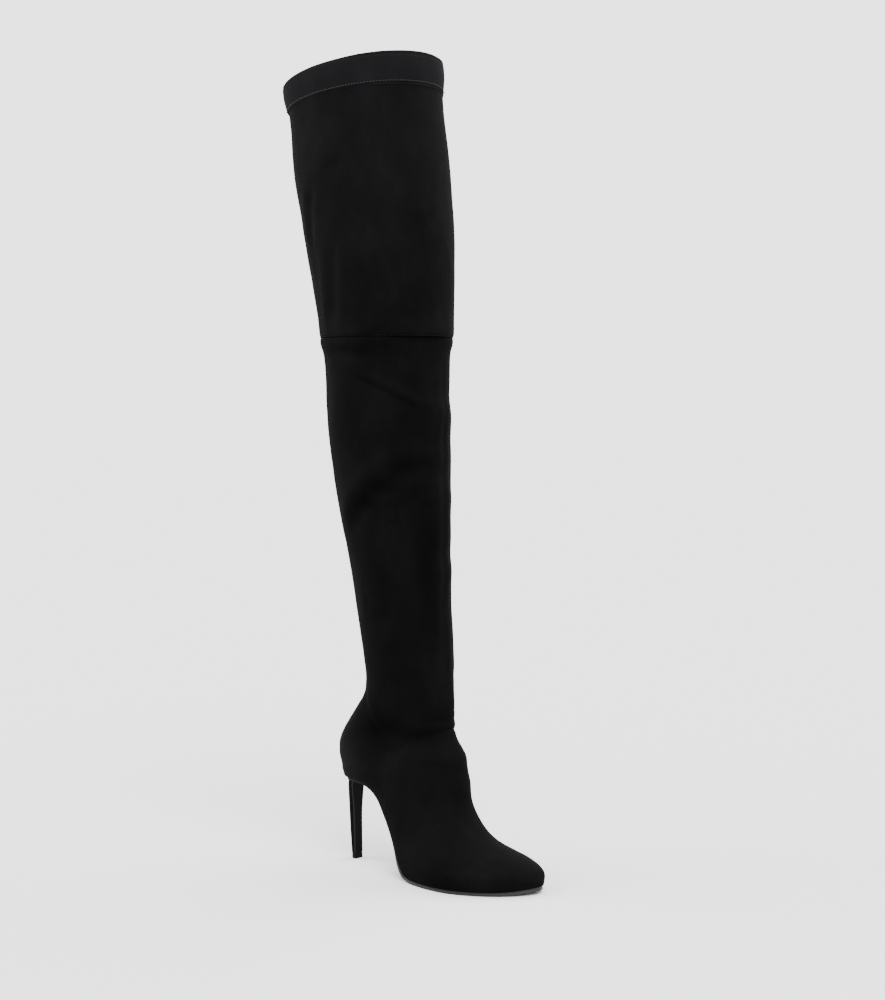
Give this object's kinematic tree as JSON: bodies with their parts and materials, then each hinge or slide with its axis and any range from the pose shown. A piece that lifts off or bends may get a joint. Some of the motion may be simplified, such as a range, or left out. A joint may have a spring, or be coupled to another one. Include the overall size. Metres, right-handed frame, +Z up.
{
  "type": "thigh high boot",
  "caption": "Right thigh high boot: a tall hollow fabric shaft over a pointed foot on a slim covered heel, standing empty on its sole.",
  "frame": {"origin": "middle of the heel's tread, on the floor plane", "axes": "+X towards the toe, +Y towards the inner side of this right boot, +Z up along the shaft"},
  "size_m": [0.2461, 0.1317, 0.6899],
  "materials": {
    "suede_fabric": "matt black suede-like stretch fabric with a short nap",
    "band_fabric": "matt black folded hem",
    "sole_gloss": "gloss black",
    "heel_rubber": "matt black",
    "lining": "matt dark lining"
  },
  "bodies": {
    "root": {"upper": "suede_fabric", "thigh_panel": "suede_fabric", "top_band": "band_fabric", "outsole": "sole_gloss", "heel": "suede_fabric", "top_piece": "heel_rubber", "insole": "lining"}
  },
  "joints": []
}
